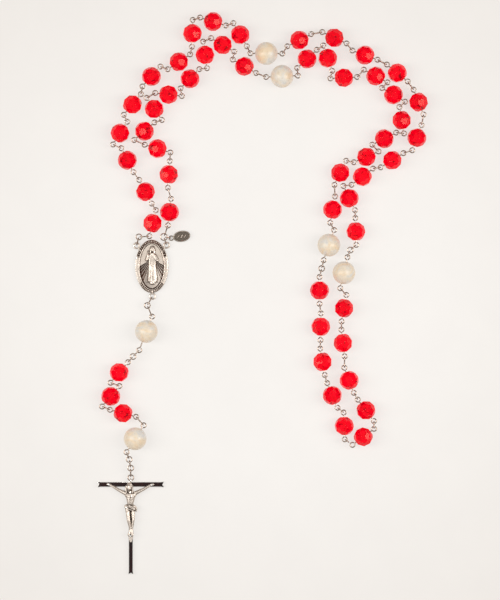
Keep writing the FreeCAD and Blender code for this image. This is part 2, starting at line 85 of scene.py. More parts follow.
# View: straight down, fitted at the height of the beads' middles
VIEW_MIDDLE = (-4.6, -2.8, 4.0)
VIEW_LENGTH = 263.2            # long side of the picture, at that height
CAMERA_DISTANCE = 1100.0
CAMERA_RANGE = (0.01, 20.0)    # nearest and farthest seen, in metres
SENSOR = 36.0

# Light tent, bright at the top and dark at the foot, and two soft boxes
TENT_COLOUR = (1.0, 0.985, 0.965)
TENT_STRENGTH = 0.54
FOOT_STRENGTH = 0.14
FOOT_COLOUR = (1.0, 0.82, 0.70)
TENT_RISE = (0.25, 0.65)       # where the dark foot ends and the full light starts, of 1 overhead
LAMP_REACH = 750.0
LAMP_TILT = 40.0
LAMP_SIZE = (260.0, 620.0)
LAMP_POWER = 3.3

# Paper under the part
FLOOR_HALF = 3.0               # in metres
FLOOR_GAP = 0.02
FLOOR_GLOW = 0.70
FLOOR_PAINTED_SHADE = (0.07, 0.20)      # where the painted shade starts to darken the paper, and where it is darkest, in metres

# Wire work
WIRE_SIDES = 10
EYE_STEPS = 30                 # points along an eye, or round both ends of a link
WIRE_END_INSET = 0.3           # a cut end is rounded from this far back, in wire radii
WIRE_END_SIZE = 0.7            # to this size, of the wire's
BUTT_GAP = 0.05                # between the two cut ends of a link
SHORTEST_PIN = 8.0             # any shorter wire is a link or a ring
EYE_START = 166                # where an eye's wire starts, in degrees from straight outwards
EYE_TURN = 312                 # and how far it goes round
SHANK_BEND = [(0.08, 0.22), (0.30, 0.05), (0.50, 0.0)]      # behind the eye, and to its side

# Edges of the CAD shapes
WELD = 0.0005                  # points closer than this are one
FLAT_EDGE = math.radians(3)    # faces that meet flatter than this are one
SHARP_FACET = math.radians(20)     # sharper edges of the cut beads are rounded
SHARP_CORNER = math.radians(40)    # and those of the cross and its nails
FACET_BEVEL = 0.07
CROSS_BEVEL = 0.07

# Pearls
PEARL_STEPS = 56
BORE_RIM = 0.12                # how far the bore's rim is rounded

# Oval plates and their lugs
PLATE_CROWDING = 0.8           # below 1 draws the rings of points closer towards the edge
PLATE_BACK_EDGE = 0.15         # height of the small step round the back
PLATE_BACK_SIZE = 0.985        # the flat back, of the whole oval
HOLLOW_SAMPLES = 12
RING_STEPS = 40
RING_SIDES = 14

# Centrepiece, with heights above its back
MEDAL_AT = Vector((-47.8, 12.0, 0.0))
MEDAL_HALVES = (7.3, 11.75)
MEDAL_FIELD = (5.35, 10.0)
MEDAL_PLATE = 1.8
MEDAL_SINK = 0.35              # of the field inside the rim
MEDAL_RIDGE = 0.3
MEDAL_RIDGE_OUT = 0.25         # from the field's edge to the top of the ridge
MEDAL_RIDGE_WIDTH = 0.26
MEDAL_LIP = 0.08               # along the outer edge
MEDAL_RINGS = 100
MEDAL_SPOKES = 330
MEDAL_LUGS = [(-54.5, 21.1), (-41.3, 21.3), (-47.5, -1.2)]
LUG_LEVEL = 1.35
LUG_RADIUS = 1.2
LUG_WIRE = 0.36                # half its thickness
LUG_NECK = 2.0                 # from the ring in towards the plate's middle

# Tag
TAG_LUG = Vector((-39.2, 24.4, 1.25))
TAG_TURN = math.radians(10)
TAG_REACH = 4.65               # lug to the plate's middle
TAG_HALVES = (3.8, 2.45)
TAG_BACK = 0.8                 # height of its back
TAG_THICK = 0.9
TAG_SINK = 0.25                # of the field inside the rim
TAG_RINGS = 44
TAG_SPOKES = 150
TAG_LUG_RADIUS = 0.95
TAG_LUG_WIRE = 0.28

# Corpus
CROSS_AT = Vector((-57.0, -83.9, 0.0))      # the crossbar's middle, at the cross's back
CORPUS_LEVEL = 2.15            # the figure's middle plane
CORPUS_BACK = 1.62             # nothing of it lies lower
CORPUS_BACK_SOFT = 0.13        # within this of its back it is pressed flat
LIMB_SIDES = 20
LIMB_END_STEPS = 8
VOXEL = 0.11
HOLLOW_ROUNDS = 24             # how far round a point its hollowness is judged, in edges
CORPUS_STAIN = 0.14            # on its plain parts
CORPUS_STAIN_DEPTH = 0.085     # a hollow this deep adds the full stain


def mm(*numbers):
    """Millimetres as a vector in metres."""
    return Vector(numbers) * MM


# Shader building

def node_tree(name):
    """A new material with an empty node tree, and the tree."""
    material = bpy.data.materials.new(name)
    material.use_nodes = True
    material.node_tree.nodes.clear()
    return material, material.node_tree


def add(tree, kind, **inputs):
    """A new shader node, with inputs set by name."""
    node = tree.nodes.new(kind)
    for key, value in inputs.items():
        node.inputs[key.replace("_", " ")].default_value = value
    return node


def principled(name, **sockets):
    """A material of one Principled shader, with its sockets set."""
    material, tree = node_tree(name)
    output = add(tree, "ShaderNodeOutputMaterial")
    shader = add(tree, "ShaderNodeBsdfPrincipled", **sockets)
    tree.links.new(shader.outputs["BSDF"], output.inputs["Surface"])
    return material, tree, shader


def noise(tree, lump, detail=3.0, roughness=0.5, distortion=0.0, stretch=(1, 1, 1)):
    """Noise over the row frame, in lumps of about that many millimetres."""
    place = add(tree, "ShaderNodeTexCoord")
    scale = add(tree, "ShaderNodeMapping")
    scale.inputs["Scale"].default_value = stretch
    texture = add(
        tree, "ShaderNodeTexNoise", Scale=1 / (lump * MM), Detail=detail, Roughness=roughness,
        Distortion=distortion)
    tree.links.new(place.outputs["Object"], scale.inputs["Vector"])
    tree.links.new(scale.outputs["Vector"], texture.inputs["Vector"])
    return texture.outputs["Fac"]


def attribute(tree, name):
    """A value that is stored at each of a mesh's points."""
    node = add(tree, "ShaderNodeAttribute")
    node.attribute_name = name
    return node.outputs["Fac"]


def ramp(tree, source, stops):
    """A colour ramp of (position, colour) stops."""
    node = add(tree, "ShaderNodeValToRGB")
    elements = node.color_ramp.elements
    while len(elements) < len(stops):
        elements.new(0.5)
    for element, (position, colour) in zip(elements, stops):
        element.position = position
        element.color = (*colour, 1.0)
    tree.links.new(source, node.inputs["Fac"])
    return node.outputs["Color"]


def spread(tree, source, low, high, start=0.3, end=0.7):
    """A value's range from start to end, stretched to low and high."""
    node = add(tree, "ShaderNodeMapRange", From_Min=start, From_Max=end, To_Min=low, To_Max=high)
    tree.links.new(source, node.inputs["Value"])
    return node.outputs["Result"]


def multiplied(tree, first, second):
    """Two colours multiplied together."""
    node = tree.nodes.new("ShaderNodeMix")
    node.data_type = "RGBA"
    node.blend_type = "MULTIPLY"
    node.inputs["Factor"].default_value = 1.0
    tree.links.new(first, node.inputs[6])
    tree.links.new(second, node.inputs[7])
    return node.outputs[2]


def bumped(tree, shader, source, strength, depth):
    """Roughens a shader's surface by a value, to a depth in millimetres."""
    node = add(tree, "ShaderNodeBump", Strength=strength, Distance=depth * MM)
    tree.links.new(source, node.inputs["Height"])
    tree.links.new(node.outputs["Normal"], shader.inputs["Normal"])


# Materials

def red_crystal():
    """Clear red glass with a painted red glow, and dark spots of painted shade where it would show its bore.
    """
    # Emission_Strength, with the red Emission Color below, is a painted glow that stands in for light
    # passing through the glass.
    material, tree, shader = principled(
        "red_crystal", Roughness=0.03, IOR=1.46, Transmission_Weight=0.5, Specular_IOR_Level=0.5,
        Emission_Strength=0.10)
    shader.inputs["Specular Tint"].default_value = (1.0, 0.34, 0.26, 1.0)
    shader.inputs["Emission Color"].default_value = (1.0, 0.0, 0.03, 1.0)
    # Painted shade: dark spots at random, standing in for the shaded bore seen through the glass.
    painted_bore_shade = ramp(tree, noise(tree, 1.8, detail=2.0, distortion=1.0), [
        (0.33, (0.16, 0.0, 0.004)), (0.38, (0.97, 0.0, 0.012)), (0.8, (1.0, 0.001, 0.025)),
    ])
    beads = ramp(tree, attribute(tree, "tint"), [(0.0, (0.88, 0.88, 0.88)), (1.0, (1.0, 1.0, 1.0))])
    tree.links.new(multiplied(tree, painted_bore_shade, beads), shader.inputs["Base Color"])
    return material


def pearl():
    """Mother-of-pearl: golden and grey-white patches in cream, a soft lustre, and a painted warm glow that
    lifts its shaded edges.
    """
    # Emission_Strength, with the warm Emission Color below, is a painted glow that flattens the pearl's
    # shading.
    material, tree, shader = principled(
        "pearl", IOR=1.5, Specular_IOR_Level=0.3, Coat_Weight=0.25, Coat_Roughness=0.26,
        Subsurface_Weight=0.25, Subsurface_Scale=0.0015, Emission_Strength=0.17)
    shader.inputs["Emission Color"].default_value = (1.0, 0.88, 0.74, 1.0)
    shader.inputs["Subsurface Radius"].default_value = (1.0, 0.8, 0.6)
    patches = noise(tree, 6.0, detail=1.5, distortion=1.2)
    colour = ramp(tree, patches, [
        (0.32, (0.60, 0.44, 0.27)), (0.44, (0.59, 0.49, 0.36)),
        (0.56, (0.57, 0.51, 0.42)), (0.68, (0.52, 0.51, 0.48)),
    ])
    layers = noise(tree, 2.2, detail=4.0, distortion=2.5, stretch=(1, 1, 2))
    bands = ramp(tree, layers, [(0.35, (0.86, 0.87, 0.89)), (0.5, (1.0, 1.0, 1.0))])
    tree.links.new(multiplied(tree, colour, bands), shader.inputs["Base Color"])
    tree.links.new(spread(tree, layers, 0.30, 0.40), shader.inputs["Roughness"])
    bumped(tree, shader, layers, 0.1, 0.04)
    return material


def worn_metal(name, dark, light, lump, smooth, rough, stain_and_painted_shade=None):
    """A metal with tarnish in patches, darkened by a stored value: stains in its hollows, and on the medal
    painted shade as well.
    """
    material, tree, shader = principled(name, Metallic=1.0)
    patches = noise(tree, lump, detail=5.0, roughness=0.6)
    colour = ramp(tree, patches, [(0.3, dark), (0.7, light)])
    if stain_and_painted_shade:
        # The stored value darkens the metal: old black in its hollows, and on the medal painted shade as
        # well.
        halfway = tuple(0.35 + 0.3 * c for c in stain_and_painted_shade)
        hollow = ramp(tree, attribute(tree, "stain_and_painted_shade"), [
            (0.0, (1.0, 1.0, 1.0)), (0.4, halfway), (1.0, stain_and_painted_shade),
        ])
        colour = multiplied(tree, colour, hollow)
    tree.links.new(colour, shader.inputs["Base Color"])
    tree.links.new(spread(tree, patches, rough, smooth), shader.inputs["Roughness"])
    bumped(tree, shader, noise(tree, lump / 5, detail=3.0), 0.1, 0.02)
    return material


def silver_wire():
    """Silver-plated wire, with brown tarnish."""
    return worn_metal("silver_wire", (0.22, 0.15, 0.11), (0.60, 0.50, 0.42), 0.9, 0.14, 0.3)


def antique_silver():
    """The centrepiece's grey silver, with old black in its hollows and painted shade on the lower part of
    the medal.
    """
    return worn_metal(
        "antique_silver", (0.50, 0.43, 0.37), (0.72, 0.64, 0.565), 2.0, 0.31, 0.45, (0.07, 0.035, 0.025))


def pewter():
    """The tag's dull grey."""
    return worn_metal(
        "pewter", (0.25, 0.215, 0.18), (0.42, 0.365, 0.31), 1.4, 0.35, 0.5, (0.2, 0.17, 0.14))


def bright_metal():
    """The polished edges of the cross, and its nails."""
    return worn_metal("bright_metal", (0.80, 0.77, 0.72), (0.96, 0.94, 0.91), 0.7, 0.12, 0.24)


def cast_silver():
    """The corpus's grey silver, with old black in its hollows."""
    return worn_metal(
        "cast_silver", (0.52, 0.45, 0.39), (0.75, 0.67, 0.595), 1.6, 0.32, 0.46, (0.07, 0.04, 0.03))


def black_inlay():
    """Near-black enamel with a fine brown grain."""
    material, tree, shader = principled("black_inlay", IOR=1.5, Specular_IOR_Level=0.2)
    grain = noise(tree, 1.5, detail=5.0, stretch=(1, 0.35, 1))
    colour = ramp(tree, grain, [(0.3, (0.006, 0.003, 0.004)), (0.7, (0.028, 0.010, 0.008))])
    tree.links.new(colour, shader.inputs["Base Color"])
    tree.links.new(spread(tree, grain, 0.32, 0.2), shader.inputs["Roughness"])
    return material


def floor_paper():
    """White paper on a light table, so that shadows stay faint; painted shade makes it a little darker far
    out.
    """
    material, tree, shader = principled(
        "floor", Roughness=0.9, Specular_IOR_Level=0.1, Emission_Strength=FLOOR_GLOW)
    grain = noise(tree, 22.0, detail=6.0, roughness=0.6)
    paper = ramp(tree, grain, [(0.3, (0.205, 0.20, 0.192)), (0.7, (0.22, 0.215, 0.206))])
    place = add(tree, "ShaderNodeTexCoord")
    length = add(tree, "ShaderNodeVectorMath")
    length.operation = "LENGTH"
    tree.links.new(place.outputs["Object"], length.inputs[0])
    reach = spread(tree, length.outputs["Value"], 0.0, 1.0, *FLOOR_PAINTED_SHADE)
    # Painted shade: the paper's colour and its glow both darken far out from the middle.
    fade = ramp(tree, reach, [(0.0, (0.973, 0.949, 0.923)), (1.0, (0.885, 0.850, 0.816))])
    tree.links.new(multiplied(tree, paper, fade), shader.inputs["Base Color"])
    tree.links.new(fade, shader.inputs["Emission Color"])
    return material


MATERIALS = {
    make.__name__: make()
    for make in (
        red_crystal, pearl, silver_wire, antique_silver, pewter, bright_metal, black_inlay, cast_silver
    )
}


# Camera, lights and floor

def make_camera():
    """A long lens straight above the middle of the view."""
    data = bpy.data.cameras.new("camera")
    data.sensor_width = SENSOR
    data.lens = SENSOR * CAMERA_DISTANCE / VIEW_LENGTH
    data.clip_start, data.clip_end = CAMERA_RANGE
    camera = bpy.data.objects.new("camera", data)
    camera.location = mm(*VIEW_MIDDLE) + UP * CAMERA_DISTANCE * MM
    bpy.context.scene.collection.objects.link(camera)
    bpy.context.scene.camera = camera


def make_lamp(name, side):
    """A soft box on one side, aimed at the middle."""
    data = bpy.data.lights.new(name, "AREA")
    data.shape = "RECTANGLE"
    data.size = LAMP_SIZE[0] * MM
    data.size_y = LAMP_SIZE[1] * MM
    data.energy = LAMP_POWER
    data.color = TENT_COLOUR
    lamp = bpy.data.objects.new(name, data)
    tilt = math.radians(LAMP_TILT)
    away = Vector((side * math.sin(tilt), 0.0, math.cos(tilt)))
    lamp.location = mm(*VIEW_MIDDLE) + away * LAMP_REACH * MM
    lamp.rotation_euler = away.to_track_quat("Z", "Y").to_euler()
    bpy.context.scene.collection.objects.link(lamp)


def make_tent():
    """A white tent all round, darker towards its foot."""
    world = bpy.data.worlds.new("tent")
    world.use_nodes = True
    tree = world.node_tree
    tree.nodes.clear()
    output = add(tree, "ShaderNodeOutputWorld")
    background = add(tree, "ShaderNodeBackground")
    place = add(tree, "ShaderNodeTexCoord")
    split = add(tree, "ShaderNodeSeparateXYZ")
    tree.links.new(place.outputs["Generated"], split.inputs["Vector"])
    top = tuple(TENT_STRENGTH * c for c in TENT_COLOUR)
    foot = tuple(FOOT_STRENGTH * c for c in FOOT_COLOUR)
    colour = ramp(tree, split.outputs["Z"], [(0.0, foot), (TENT_RISE[0], foot), (TENT_RISE[1], top)])
    tree.links.new(colour, background.inputs["Color"])
    tree.links.new(background.outputs["Background"], output.inputs["Surface"])
    bpy.context.scene.world = world


def make_floor():
    """A wide sheet of paper just under the part."""
    mesh = bpy.data.meshes.new("floor")
    corners = [(x * FLOOR_HALF, y * FLOOR_HALF, 0) for x, y in ((-1, -1), (1, -1), (1, 1), (-1, 1))]
    mesh.from_pydata(corners, [], [(0, 1, 2, 3)])
    mesh.materials.append(floor_paper())
    floor = bpy.data.objects.new("floor", mesh)
    floor.location = (0, 0, cad_box[0].z - FLOOR_GAP * MM)
    bpy.context.scene.collection.objects.link(floor)


# Reading the frame's meshes

def welded(node):
    """A working copy of a CAD node in millimetres, with its doubled points joined."""
    mesh = bmesh.new()
    mesh.from_mesh(frame["nodes"][node].data)
    mesh.transform(Matrix.Scale(1 / MM, 4))
    bmesh.ops.remove_doubles(mesh, verts=mesh.verts, dist=WELD)
    mesh.verts.index_update()
    return mesh


def part_middle(part):
    """The middle of a solid's box."""
    low, high = ([pick(v.co[k] for v in part) for k in range(3)] for pick in (min, max))
    return (Vector(low) + Vector(high)) / 2


def islands(mesh):
    """The separate solids of a mesh, each as the list of its vertices, in order of place."""
    seen = set()
    found = []
    for start in mesh.verts:
        if start.index in seen:
            continue
        seen.add(start.index)
        part = [start]
        for vertex in part:
            for edge in vertex.link_edges:
                other = edge.other_vert(vertex)
                if other.index not in seen:
                    seen.add(other.index)
                    part.append(other)
        found.append(part)
    return sorted(found, key=lambda part: tuple(round(c, 2) for c in part_middle(part)))


def piece(name, mesh, node, finish):
    """Makes a finished mesh, in millimetres, into a piece that stands for a CAD node."""
    mesh.transform(Matrix.Scale(MM, 4))
    data = bpy.data.meshes.new(name)
    mesh.to_mesh(data)
    mesh.free()
    data.shade_smooth()
    data.materials.append(MATERIALS[finish])
    item = bpy.data.objects.new(name, data)
    bpy.context.scene.collection.objects.link(item)
    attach(item, frame["nodes"][node]["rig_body"])
    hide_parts(node)
    return item


def flats_joined(node):
    """A working copy of a CAD node, with each flat side made into one face."""
    mesh = welded(node)
    bmesh.ops.dissolve_limit(mesh, angle_limit=FLAT_EDGE, verts=mesh.verts, edges=mesh.edges)
    return mesh


def bevel(mesh, sharp, width, steps):
    """Rounds the edges that are sharper than an angle, each with a number of narrow faces."""
    edges = [e for e in mesh.edges if e.is_manifold and e.calc_face_angle() > sharp]
    bmesh.ops.bevel(
        mesh, geom=edges, offset=width, offset_type="OFFSET", segments=steps, profile=0.5,
        affect="EDGES", clamp_overlap=True)


def shade_by_area(item):
    """Shades the wide faces of a bevelled piece flat, so that only its narrow bevels look round."""
    normals = item.modifiers.new("normals", "WEIGHTED_NORMAL")
    normals.weight = 100


# Crystal beads

def cut_beads(node):
    """The faceted beads of a node, with their facets' edges softened and a shade for each bead."""
    mesh = flats_joined(node)
    tint = mesh.verts.layers.float.new("tint")
    mesh.verts.index_update()
    for part in islands(mesh):
        shade = random.random()
        for vertex in part:
            vertex[tint] = shade
    bevel(mesh, SHARP_FACET, FACET_BEVEL, steps=2)
    name = node.replace("bead", "crystal")
    shade_by_area(piece(name, mesh, node, "red_crystal"))


# Pearls

def bore_axis(mesh, size):
    """The direction of a bead's bore, from the long edges along its wall."""
    total = Vector((0, 0, 0))
    for edge in mesh.edges:
        step = edge.verts[1].co - edge.verts[0].co
        if step.length > size / 2:
            total += step if step.dot(total) >= 0 else -step
    return total.normalized()


def lathe(mesh, profile, middle, axis, steps):
    """Turns a profile of (along the axis, radius) points about the axis."""
    turn = axis.to_track_quat("Z", "Y").to_matrix().to_4x4()
    place = Matrix.Translation(middle) @ turn
    rings = []
    for along, radius in profile:
        ring = []
        for k in range(steps):
            angle = 2 * math.pi * k / steps
            point = Vector((radius * math.cos(angle), radius * math.sin(angle), along))
            ring.append(mesh.verts.new(place @ point))
        rings.append(ring)
    for low, high in zip(rings, rings[1:]):
        for k in range(steps):
            mesh.faces.new((low[k], low[k - 1], high[k - 1], high[k]))
    return rings


def pearl_bead(node):
    """A round bead turned about its bore, with the bore's rim rounded over."""
    rough = welded(node)
    low, high = (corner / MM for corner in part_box(node))
    radius = (high.z - low.z) / 2
    axis = bore_axis(rough, 2 * radius)
    middle = (low + high) / 2
    bore = min((v.co - middle).cross(axis).length for v in rough.verts)
    rough.free()
    start = math.asin((bore + BORE_RIM) / radius)
    profile = [(math.cos(start) * radius - BORE_RIM, bore)]
    for k in range(PEARL_STEPS // 2 + 1):
        angle = start + (math.pi - 2 * start) * k / (PEARL_STEPS // 2)
        profile.append((radius * math.cos(angle), radius * math.sin(angle)))
    profile.append((-math.cos(start) * radius + BORE_RIM, bore))
    mesh = bmesh.new()
    rings = lathe(mesh, profile, middle, axis, PEARL_STEPS)
    for k in range(PEARL_STEPS):
        mesh.faces.new((rings[-1][k], rings[-1][k - 1], rings[0][k - 1], rings[0][k]))
    bmesh.ops.recalc_face_normals(mesh, faces=mesh.faces)
    piece(node.replace("bead", "pearl"), mesh, node, "pearl")


# Wire work

def tube(mesh, points, radius):
    """A round wire along a row of points, with its cut ends slightly rounded."""
    count = len(points)
    ways = [(points[min(n + 1, count - 1)] - points[max(n - 1, 0)]).normalized() for n in range(count)]
    side = ways[0].orthogonal().normalized()
    inset = radius * WIRE_END_INSET
    places = [points[0] + ways[0] * inset] + points[1:-1] + [points[-1] - ways[-1] * inset]
    rows = [(points[0], radius * WIRE_END_SIZE, ways[0])]
    rows += [(place, radius, way) for place, way in zip(places, ways)]
    rows += [(points[-1], radius * WIRE_END_SIZE, ways[-1])]
    rings = []
    for point, size, way in rows:
        side = (side - way * side.dot(way)).normalized()
        other = way.cross(side)
        ring = []
        for k in range(WIRE_SIDES):
            angle = 2 * math.pi * k / WIRE_SIDES
            ring.append(mesh.verts.new(point + (side * math.cos(angle) + other * math.sin(angle)) * size))
        rings.append(ring)
    for low, high in zip(rings, rings[1:]):
        for k in range(WIRE_SIDES):
            mesh.faces.new((low[k - 1], low[k], high[k], high[k - 1]))
    mesh.faces.new(list(reversed(rings[0])))
    mesh.faces.new(rings[-1])


def measured(part):
    """A bent wire's middle, its directions and half sizes, the longest first and the thinnest last."""
    points = np.array([v.co for v in part])
    rough = points.mean(axis=0)
    directions = np.linalg.eigh(np.cov((points - rough).T))[1].T[::-1]
    signs = np.sign([d[np.argmax(np.abs(d))] for d in directions])
    directions = directions * signs[:, None]
    along = (points - rough) @ directions.T
    low, high = along.min(axis=0), along.max(axis=0)
    middle = rough + ((low + high) / 2) @ directions
    return Vector(middle), [Vector(d) for d in directions], (high - low) / 2


def racetrack(length, width, gap):
    """A link's middle line from cut end to cut end, by its half length and half width."""
    straight = length - width
    out = [(gap / 2, width)]
    for end, first in ((1, 90), (-1, -90)):
        for k in range(EYE_STEPS // 2 + 1):
            angle = math.radians(first - 180 * k / (EYE_STEPS // 2))
            out.append((end * straight + width * math.cos(angle), width * math.sin(angle)))
    out.append((-gap / 2, width))
    return out


def link_line(middle, directions, halves):
    """A link's middle line in its place."""
    radius = halves[2]
    along, across = directions[:2]
    track = racetrack(halves[0] - radius, halves[1] - radius, BUTT_GAP)
    return [middle + along * u + across * v for u, v in track]


def eye_line(centre, out, across, eye):
    """An eye's middle line from its cut end round to where it bends back into the shank."""
    points = []
    for k in range(EYE_STEPS + 1):
        angle = math.radians(EYE_START - k * EYE_TURN / EYE_STEPS)
        points.append(centre + out * eye * math.cos(angle) + across * eye * math.sin(angle))
    for behind, aside in SHANK_BEND:
        points.append(centre - out * (eye + behind) - across * aside)
    return points


def pin_line(middle, directions, halves):
    """An eye pin's middle line: an eye, the shank, and the other eye turned the opposite way."""
    along, across = directions[:2]
    eye = halves[1] - halves[2]
    reach = halves[0] - halves[1]
    first = eye_line(middle - along * reach, -along, across, eye)
    second = eye_line(middle + along * reach, along, across, eye)
    return first + list(reversed(second))


def bent_wires(node):
    """The eye pins, links and rings of a node, each bent from round wire."""
    rough = welded(node)
    mesh = bmesh.new()
    for part in islands(rough):
        middle, directions, halves = measured(part)
        if 2 * halves[0] > SHORTEST_PIN:
            line = pin_line(middle, directions, halves)
        else:
            line = link_line(middle, directions, halves)
        tube(mesh, line, halves[2])
    rough.free()
    bmesh.ops.recalc_face_normals(mesh, faces=mesh.faces)
    piece(f"{node}_silver", mesh, node, "silver_wire")


# Relief work: heights and shapes as functions over a plane, in millimetres

def blend(value, low, high):
    """A smooth step from 0 at low to 1 at high."""
    t = np.clip((value - low) / (high - low), 0, 1)
    return t * t * (3 - 2 * t)


def oval_distance(u, v, halves):
    """About how far a point is outside an oval; negative inside."""
    a, b = halves
    level = np.sqrt((u / a) ** 2 + (v / b) ** 2) + 1e-9
    slope = np.sqrt((u / a**2) ** 2 + (v / b**2) ** 2) / level + 1e-9
    return (level - 1) / slope


def limb_distance(u, v, start, end, start_size, end_size):
    """How far a point is outside a limb that tapers from one round end to the other."""
    way = np.subtract(end, start)
    along = ((u - start[0]) * way[0] + (v - start[1]) * way[1]) / (way @ way)
    along = np.clip(along, 0, 1)
    gap = np.hypot(u - start[0] - along * way[0], v - start[1] - along * way[1])
    return gap - start_size - along * (end_size - start_size)


def dome(distance, soft, rise):
    """A rounded rise inside a shape: its edge is rounded over the soft width."""
    depth = np.clip(-distance / soft, 0, 1)
    return rise * np.sqrt(1 - (1 - depth) ** 2)


def marks(u, v, places):
    """Soft oval marks, each raised by its height or sunk if that is negative."""
    total = np.zeros_like(u)
    for (x, y), width, length, rise in places:
        total += rise * np.exp(-(((u - x) / width) ** 2) - ((v - y) / length) ** 2)
    return total


# The medal's figure, from the medal's middle: start, end, the sizes there and how far each part rises
FIGURE_LINE = 0.3              # how far right the figure's middle line is
ROBE = [
    ((0.2, 4.6), (0.3, -6.0), 1.5, 2.0, 0.55),
    ((-0.6, 0.5), (-0.7, -6.1), 0.9, 1.1, 0.62),
    ((1.0, 0.5), (1.5, -5.9), 0.9, 1.1, 0.60),
    ((-1.0, 4.6), (-2.1, 3.0), 0.75, 0.75, 0.66),
    ((-2.1, 3.0), (-1.7, 5.3), 0.7, 0.38, 0.72),
    ((1.4, 4.6), (2.3, 2.7), 0.8, 0.8, 0.62),
    ((2.3, 2.7), (0.9, 3.0), 0.75, 0.42, 0.70),
]
SKIN = [
    ((-1.65, 5.7), (-1.6, 6.6), 0.32, 0.24, 0.66),
    ((0.75, 3.1), (0.35, 3.3), 0.3, 0.22, 0.76),
    ((0.3, 5.6), (0.3, 5.0), 0.5, 0.6, 0.6),
    ((0.3, 7.7), (0.3, 6.9), 0.85, 0.55, 0.78),
    ((-0.35, -7.1), (-0.55, -7.7), 0.42, 0.34, 0.45),
    ((0.95, -7.1), (1.15, -7.7), 0.42, 0.34, 0.45),
]
HAIR = [
    ((0.3, 8.0), (0.3, 7.6), 0.95, 1.1, 0.6),
    ((-0.45, 7.4), (-0.55, 5.8), 0.5, 0.35, 0.66),
    ((1.05, 7.4), (1.15, 5.8), 0.5, 0.35, 0.66),
]
FACE = [                       # nose, eyes and mouth: place, half width and height, and rise
    ((0.3, 7.3), 0.16, 0.28, 0.07),
    ((0.0, 7.45), 0.16, 0.10, -0.05),
    ((0.6, 7.45), 0.16, 0.10, -0.05),
    ((0.3, 6.85), 0.22, 0.09, -0.025),
]


def tallest(u, v, limbs, soft):
    """The height of the highest of some rounded limbs at each point."""
    return np.max([dome(limb_distance(u, v, *limb[:4]), soft, limb[4]) for limb in limbs], axis=0)


def figure_height(u, v):
    """A standing robed figure with one hand raised, in low relief, with a plain face."""
    x = u - FIGURE_LINE
    robe = tallest(u, v, ROBE, 0.5)
    widening = 1 + 0.10 * (4 - v)
    folds = np.cos(7.0 * x / widening) * blend(v, 2.5, -1.0)
    robe += 0.07 * folds * blend(robe, 0.1, 0.5)
    hair = tallest(u, v, HAIR, 0.4)
    strands = np.cos(9 * x + 1.5 * np.cos(2 * v))
    hair += 0.05 * strands * blend(hair, 0.1, 0.4)
    skin = tallest(u, v, SKIN, 0.45) + marks(u, v, FACE)
    return np.max([robe, hair, skin], axis=0)


# The medal's rays and bands; angles in degrees
RAYS_FROM = (0.5, 3.0)         # a fan's start, out from the figure's line and up from the medal's middle
RAYS_UPPER = (28, 31)          # below level, where a fan's upper edge starts and ends
RAYS_LOWER = (72, 68)
RAY_PITCH = 9
RAY_DEPTH = 0.18
TOP_BAND = (22, 158)           # round the medal, from the right
FOOT_BAND = (-138, -42)
BAND_END = 3                   # the bands fade out over this angle
BAND_EDGES = (-1.28, -0.26)    # from the medal's edge, negative inwards
BAND_STEP = 0.12
BAND_SINK = 0.2
STUD_PITCH = 6
STUD_LINE = -0.77              # the middle of the row, from the medal's edge
STUD_HALF = (0.34, 0.22)       # half of a bar's length, at its foot and on top
STUD_RISE = 0.24
GROUND_RISE = 0.16             # of the low mound under the figure's feet


def rays(u, v):
    """Two fans of grooves from the chest, one falling to each side, from 0 to 1 at the deepest."""
    total = np.zeros_like(u)
    for side in (-1, 1):
        x = side * (u - FIGURE_LINE) - RAYS_FROM[0]
        below = np.degrees(np.arctan2(RAYS_FROM[1] - v, x))
        inside = blend(below, *RAYS_UPPER) * blend(below, *RAYS_LOWER) * blend(x, 0.2, 0.7)
        total += inside * (0.62 + 0.38 * np.cos(np.radians((below - 52) * 360 / RAY_PITCH)))
    return total


def between(value, low, high, soft):
    """1 between two limits, falling to 0 at each over the soft width."""
    return blend(value, low, low + soft) * blend(value, high, high - soft)


def round_medal(u, v):
    """How far round the medal a point is, in degrees from the right."""
    return np.degrees(np.arctan2(v / MEDAL_HALVES[1], u / MEDAL_HALVES[0]))


def in_band(u, v):
    """The bands over the top and under the bottom of the rim, as 1 inside them."""
    angle = round_medal(u, v)
    along = between(angle, *TOP_BAND, BAND_END) + between(angle, *FOOT_BAND, BAND_END)
    return along * between(oval_distance(u, v, MEDAL_HALVES), *BAND_EDGES, BAND_STEP)


def studs(u, v):
    """A row of small bars all round the rim, as 1 on top of them; only the bands show them."""
    bars = blend(np.cos(np.radians(round_medal(u, v) * 360 / STUD_PITCH)), 0.25, 0.75)
    return bars * blend(np.abs(oval_distance(u, v, MEDAL_HALVES) - STUD_LINE), *STUD_HALF)


def medal_height(u, v):
    """The medal's upper side: its rim with the bands, the ridge, and the figure in the sunk field."""
    ridge = oval_distance(u, v, [half + MEDAL_RIDGE_OUT for half in MEDAL_FIELD])
    edge = oval_distance(u, v, MEDAL_HALVES)
    height = MEDAL_PLATE - MEDAL_SINK * (1 - blend(ridge, -0.30, -0.18))
    height += MEDAL_RIDGE * np.exp(-((ridge / MEDAL_RIDGE_WIDTH) ** 4))
    height += MEDAL_LIP * np.exp(-(((edge + 0.15) / 0.12) ** 4))
    height += in_band(u, v) * (STUD_RISE * studs(u, v) - BAND_SINK)
    field = blend(ridge, -0.25, -0.45)
    ground = GROUND_RISE * blend(v, -6.6, -7.4) * blend(np.hypot(u - FIGURE_LINE, v + 9.5), 3.6, 3.2)
    figure = figure_height(u, v)
    low = (ground - RAY_DEPTH * rays(u, v)) * (1 - blend(figure, 0.02, 0.2))
    height += field * (low + figure)
    rounding = 0.3 * blend(edge, -0.12, 0.0)
    return height - rounding


